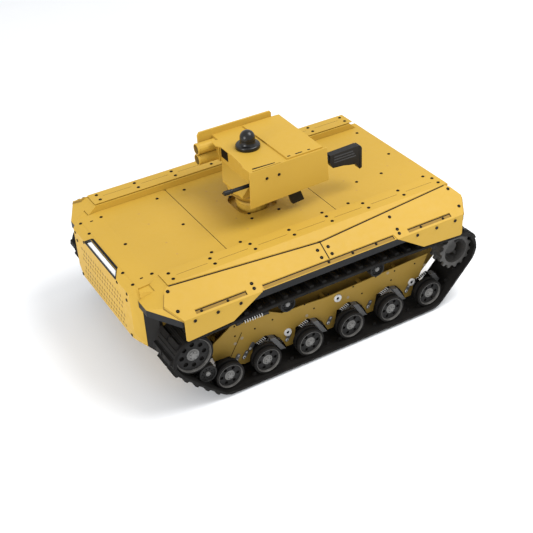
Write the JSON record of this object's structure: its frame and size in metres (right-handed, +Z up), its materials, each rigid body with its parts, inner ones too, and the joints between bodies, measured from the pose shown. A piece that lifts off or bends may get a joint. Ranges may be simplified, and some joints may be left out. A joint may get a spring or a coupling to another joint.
{
  "type": "tracked robot chassis",
  "caption": "Armoured tracked robot chassis with sprung road wheels, a flat bolted deck and a small turning remote turret.",
  "frame": {"origin": "centre of the ground contact rectangle, at ground level", "axes": "+X towards the nose, +Y to the left side, +Z up"},
  "size_m": [1.709, 1.194, 0.9443],
  "materials": {
    "yellow_paint": "satin",
    "wheel_alloy": "matte",
    "cast_steel": "rough",
    "dark_metal": "satin",
    "track_rubber": "matte",
    "lens": "gloss",
    "dark_plastic": "gloss",
    "gun_black": "satin",
    "battery_case": "matte"
  },
  "bodies": {
    "chassis": {"deck_front": "yellow_paint", "deck_middle": "yellow_paint", "deck_rear": "yellow_paint", "hull_tub": "yellow_paint", "nose_panel": "yellow_paint", "shoulder_rail_left": "yellow_paint", "shoulder_rail_right": "yellow_paint", "side_plate_left": "yellow_paint", "side_plate_right": "yellow_paint", "skirt_front_left": "yellow_paint", "skirt_front_right": "yellow_paint", "skirt_rear_left": "yellow_paint", "skirt_rear_right": "yellow_paint", "sponson_left": "yellow_paint", "sponson_right": "yellow_paint", "headlight_bar": "lens", "track_left": "track_rubber", "track_right": "track_rubber", "battery_pack": "battery_case", "drive_motor_left": "dark_metal", "drive_motor_right": "dark_metal"},
    "sprocket_left": {"drive_sprocket_left": "cast_steel"},
    "idler_left": {"idler_left": "wheel_alloy"},
    "tension_roller_left": {"tension_roller_left": "wheel_alloy"},
    "return_roller_1_left": {"return_roller_1_left": "wheel_alloy"},
    "return_roller_2_left": {"return_roller_2_left": "wheel_alloy"},
    "arm_1_left": {"swing_arm_1_left": "dark_metal"},
    "wheel_1_left": {"road_wheel_1_left": "wheel_alloy"},
    "arm_2_left": {"swing_arm_2_left": "dark_metal"},
    "wheel_2_left": {"road_wheel_2_left": "wheel_alloy"},
    "arm_3_left": {"swing_arm_3_left": "dark_metal"},
    "wheel_3_left": {"road_wheel_3_left": "wheel_alloy"},
    "arm_4_left": {"swing_arm_4_left": "dark_metal"},
    "wheel_4_left": {"road_wheel_4_left": "wheel_alloy"},
    "arm_5_left": {"swing_arm_5_left": "dark_metal"},
    "wheel_5_left": {"road_wheel_5_left": "wheel_alloy"},
    "arm_6_left": {"swing_arm_6_left": "dark_metal"},
    "wheel_6_left": {"road_wheel_6_left": "wheel_alloy"},
    "sprocket_right": {"drive_sprocket_right": "cast_steel"},
    "idler_right": {"idler_right": "wheel_alloy"},
    "tension_roller_right": {"tension_roller_right": "wheel_alloy"},
    "return_roller_1_right": {"return_roller_1_right": "wheel_alloy"},
    "return_roller_2_right": {"return_roller_2_right": "wheel_alloy"},
    "arm_1_right": {"swing_arm_1_right": "dark_metal"},
    "wheel_1_right": {"road_wheel_1_right": "wheel_alloy"},
    "arm_2_right": {"swing_arm_2_right": "dark_metal"},
    "wheel_2_right": {"road_wheel_2_right": "wheel_alloy"},
    "arm_3_right": {"swing_arm_3_right": "dark_metal"},
    "wheel_3_right": {"road_wheel_3_right": "wheel_alloy"},
    "arm_4_right": {"swing_arm_4_right": "dark_metal"},
    "wheel_4_right": {"road_wheel_4_right": "wheel_alloy"},
    "arm_5_right": {"swing_arm_5_right": "dark_metal"},
    "wheel_5_right": {"road_wheel_5_right": "wheel_alloy"},
    "arm_6_right": {"swing_arm_6_right": "dark_metal"},
    "wheel_6_right": {"road_wheel_6_right": "wheel_alloy"},
    "turret": {"turntable": "yellow_paint", "turret_housing": "yellow_paint", "launch_tubes": "yellow_paint", "camera_dome": "dark_plastic"},
    "gun": {"gun": "gun_black"}
  },
  "joints": [
    {"name": "drive_left", "type": "hinge", "parent": "chassis", "child": "sprocket_left", "pos_m": [-0.7344, 0.5, 0.29], "axis": [0, 1, 0], "continuous": true},
    {"name": "idler_spin_left", "type": "hinge", "parent": "chassis", "child": "idler_left", "pos_m": [0.687, 0.5, 0.29], "axis": [0, 1, 0], "continuous": true},
    {"name": "tension_roller_spin_left", "type": "hinge", "parent": "chassis", "child": "tension_roller_left", "pos_m": [0.627, 0.5, 0.1555], "axis": [0, 1, 0], "continuous": true},
    {"name": "return_roller_1_spin_left", "type": "hinge", "parent": "chassis", "child": "return_roller_1_left", "pos_m": [0.208, 0.5, 0.36], "axis": [0, 1, 0], "continuous": true},
    {"name": "return_roller_2_spin_left", "type": "hinge", "parent": "chassis", "child": "return_roller_2_left", "pos_m": [-0.275, 0.5, 0.36], "axis": [0, 1, 0], "continuous": true},
    {"name": "arm_1_swing_left", "type": "hinge", "parent": "chassis", "child": "arm_1_left", "pos_m": [0.4458, 0.45, 0.088], "axis": [0, -1, 0], "range_deg": [0, 10], "stiffness_Nm_per_rad": 200, "springref_deg": -8.59},
    {"name": "wheel_1_spin_left", "type": "hinge", "parent": "arm_1_left", "child": "wheel_1_left", "pos_m": [0.5218, 0.5, 0.097], "axis": [0, 1, 0], "continuous": true},
    {"name": "arm_2_swing_left", "type": "hinge", "parent": "chassis", "child": "arm_2_left", "pos_m": [0.4026, 0.45, 0.088], "axis": [0, 1, 0], "range_deg": [0, 10], "stiffness_Nm_per_rad": 200, "springref_deg": -8.59},
    {"name": "wheel_2_spin_left", "type": "hinge", "parent": "arm_2_left", "child": "wheel_2_left", "pos_m": [0.3266, 0.5, 0.097], "axis": [0, 1, 0], "continuous": true},
    {"name": "arm_3_swing_left", "type": "hinge", "parent": "chassis", "child": "arm_3_left", "pos_m": [0.1742, 0.45, 0.088], "axis": [0, 1, 0], "range_deg": [0, 10], "stiffness_Nm_per_rad": 200, "springref_deg": -8.59},
    {"name": "wheel_3_spin_left", "type": "hinge", "parent": "arm_3_left", "child": "wheel_3_left", "pos_m": [0.0982, 0.5, 0.097], "axis": [0, 1, 0], "continuous": true},
    {"name": "arm_4_swing_left", "type": "hinge", "parent": "chassis", "child": "arm_4_left", "pos_m": [-0.0542, 0.45, 0.088], "axis": [0, 1, 0], "range_deg": [0, 10], "stiffness_Nm_per_rad": 200, "springref_deg": -8.59},
    {"name": "wheel_4_spin_left", "type": "hinge", "parent": "arm_4_left", "child": "wheel_4_left", "pos_m": [-0.1302, 0.5, 0.097], "axis": [0, 1, 0], "continuous": true},
    {"name": "arm_5_swing_left", "type": "hinge", "parent": "chassis", "child": "arm_5_left", "pos_m": [-0.2826, 0.45, 0.088], "axis": [0, 1, 0], "range_deg": [0, 10], "stiffness_Nm_per_rad": 200, "springref_deg": -8.59},
    {"name": "wheel_5_spin_left", "type": "hinge", "parent": "arm_5_left", "child": "wheel_5_left", "pos_m": [-0.3586, 0.5, 0.097], "axis": [0, 1, 0], "continuous": true},
    {"name": "arm_6_swing_left", "type": "hinge", "parent": "chassis", "child": "arm_6_left", "pos_m": [-0.511, 0.45, 0.088], "axis": [0, 1, 0], "range_deg": [0, 10], "stiffness_Nm_per_rad": 200, "springref_deg": -8.59},
    {"name": "wheel_6_spin_left", "type": "hinge", "parent": "arm_6_left", "child": "wheel_6_left", "pos_m": [-0.587, 0.5, 0.097], "axis": [0, 1, 0], "continuous": true},
    {"name": "drive_right", "type": "hinge", "parent": "chassis", "child": "sprocket_right", "pos_m": [-0.7344, -0.5, 0.29], "axis": [0, 1, 0], "continuous": true},
    {"name": "idler_spin_right", "type": "hinge", "parent": "chassis", "child": "idler_right", "pos_m": [0.687, -0.5, 0.29], "axis": [0, 1, 0], "continuous": true},
    {"name": "tension_roller_spin_right", "type": "hinge", "parent": "chassis", "child": "tension_roller_right", "pos_m": [0.627, -0.5, 0.1555], "axis": [0, 1, 0], "continuous": true},
    {"name": "return_roller_1_spin_right", "type": "hinge", "parent": "chassis", "child": "return_roller_1_right", "pos_m": [0.208, -0.5, 0.36], "axis": [0, 1, 0], "continuous": true},
    {"name": "return_roller_2_spin_right", "type": "hinge", "parent": "chassis", "child": "return_roller_2_right", "pos_m": [-0.275, -0.5, 0.36], "axis": [0, 1, 0], "continuous": true},
    {"name": "arm_1_swing_right", "type": "hinge", "parent": "chassis", "child": "arm_1_right", "pos_m": [0.4458, -0.45, 0.088], "axis": [0, -1, 0], "range_deg": [0, 10], "stiffness_Nm_per_rad": 200, "springref_deg": -8.59},
    {"name": "wheel_1_spin_right", "type": "hinge", "parent": "arm_1_right", "child": "wheel_1_right", "pos_m": [0.5218, -0.5, 0.097], "axis": [0, 1, 0], "continuous": true},
    {"name": "arm_2_swing_right", "type": "hinge", "parent": "chassis", "child": "arm_2_right", "pos_m": [0.4026, -0.45, 0.088], "axis": [0, 1, 0], "range_deg": [0, 10], "stiffness_Nm_per_rad": 200, "springref_deg": -8.59},
    {"name": "wheel_2_spin_right", "type": "hinge", "parent": "arm_2_right", "child": "wheel_2_right", "pos_m": [0.3266, -0.5, 0.097], "axis": [0, 1, 0], "continuous": true},
    {"name": "arm_3_swing_right", "type": "hinge", "parent": "chassis", "child": "arm_3_right", "pos_m": [0.1742, -0.45, 0.088], "axis": [0, 1, 0], "range_deg": [0, 10], "stiffness_Nm_per_rad": 200, "springref_deg": -8.59},
    {"name": "wheel_3_spin_right", "type": "hinge", "parent": "arm_3_right", "child": "wheel_3_right", "pos_m": [0.0982, -0.5, 0.097], "axis": [0, 1, 0], "continuous": true},
    {"name": "arm_4_swing_right", "type": "hinge", "parent": "chassis", "child": "arm_4_right", "pos_m": [-0.0542, -0.45, 0.088], "axis": [0, 1, 0], "range_deg": [0, 10], "stiffness_Nm_per_rad": 200, "springref_deg": -8.59},
    {"name": "wheel_4_spin_right", "type": "hinge", "parent": "arm_4_right", "child": "wheel_4_right", "pos_m": [-0.1302, -0.5, 0.097], "axis": [0, 1, 0], "continuous": true},
    {"name": "arm_5_swing_right", "type": "hinge", "parent": "chassis", "child": "arm_5_right", "pos_m": [-0.2826, -0.45, 0.088], "axis": [0, 1, 0], "range_deg": [0, 10], "stiffness_Nm_per_rad": 200, "springref_deg": -8.59},
    {"name": "wheel_5_spin_right", "type": "hinge", "parent": "arm_5_right", "child": "wheel_5_right", "pos_m": [-0.3586, -0.5, 0.097], "axis": [0, 1, 0], "continuous": true},
    {"name": "arm_6_swing_right", "type": "hinge", "parent": "chassis", "child": "arm_6_right", "pos_m": [-0.511, -0.45, 0.088], "axis": [0, 1, 0], "range_deg": [0, 10], "stiffness_Nm_per_rad": 200, "springref_deg": -8.59},
    {"name": "wheel_6_spin_right", "type": "hinge", "parent": "arm_6_right", "child": "wheel_6_right", "pos_m": [-0.587, -0.5, 0.097], "axis": [0, 1, 0], "continuous": true},
    {"name": "turret_pan", "type": "hinge", "parent": "chassis", "child": "turret", "pos_m": [0.06, 0, 0.6], "axis": [0, 0, 1], "range_deg": [-180, 180]},
    {"name": "gun_elevation", "type": "hinge", "parent": "turret", "child": "gun", "pos_m": [0.06, 0.176, 0.774], "axis": [0, -1, 0], "range_deg": [-8, 5]}
  ],
  "couplings": [
    {"joint": "idler_spin_left", "follows": "drive_left", "ratio": 1},
    {"joint": "tension_roller_spin_left", "follows": "drive_left", "ratio": 2.1609},
    {"joint": "return_roller_1_spin_left", "follows": "drive_left", "ratio": 2.4103},
    {"joint": "return_roller_2_spin_left", "follows": "drive_left", "ratio": 2.4103},
    {"joint": "wheel_1_spin_left", "follows": "drive_left", "ratio": 1.3429},
    {"joint": "wheel_2_spin_left", "follows": "drive_left", "ratio": 1.3429},
    {"joint": "wheel_3_spin_left", "follows": "drive_left", "ratio": 1.3429},
    {"joint": "wheel_4_spin_left", "follows": "drive_left", "ratio": 1.3429},
    {"joint": "wheel_5_spin_left", "follows": "drive_left", "ratio": 1.3429},
    {"joint": "wheel_6_spin_left", "follows": "drive_left", "ratio": 1.3429},
    {"joint": "idler_spin_right", "follows": "drive_right", "ratio": 1},
    {"joint": "tension_roller_spin_right", "follows": "drive_right", "ratio": 2.1609},
    {"joint": "return_roller_1_spin_right", "follows": "drive_right", "ratio": 2.4103},
    {"joint": "return_roller_2_spin_right", "follows": "drive_right", "ratio": 2.4103},
    {"joint": "wheel_1_spin_right", "follows": "drive_right", "ratio": 1.3429},
    {"joint": "wheel_2_spin_right", "follows": "drive_right", "ratio": 1.3429},
    {"joint": "wheel_3_spin_right", "follows": "drive_right", "ratio": 1.3429},
    {"joint": "wheel_4_spin_right", "follows": "drive_right", "ratio": 1.3429},
    {"joint": "wheel_5_spin_right", "follows": "drive_right", "ratio": 1.3429},
    {"joint": "wheel_6_spin_right", "follows": "drive_right", "ratio": 1.3429}
  ]
}
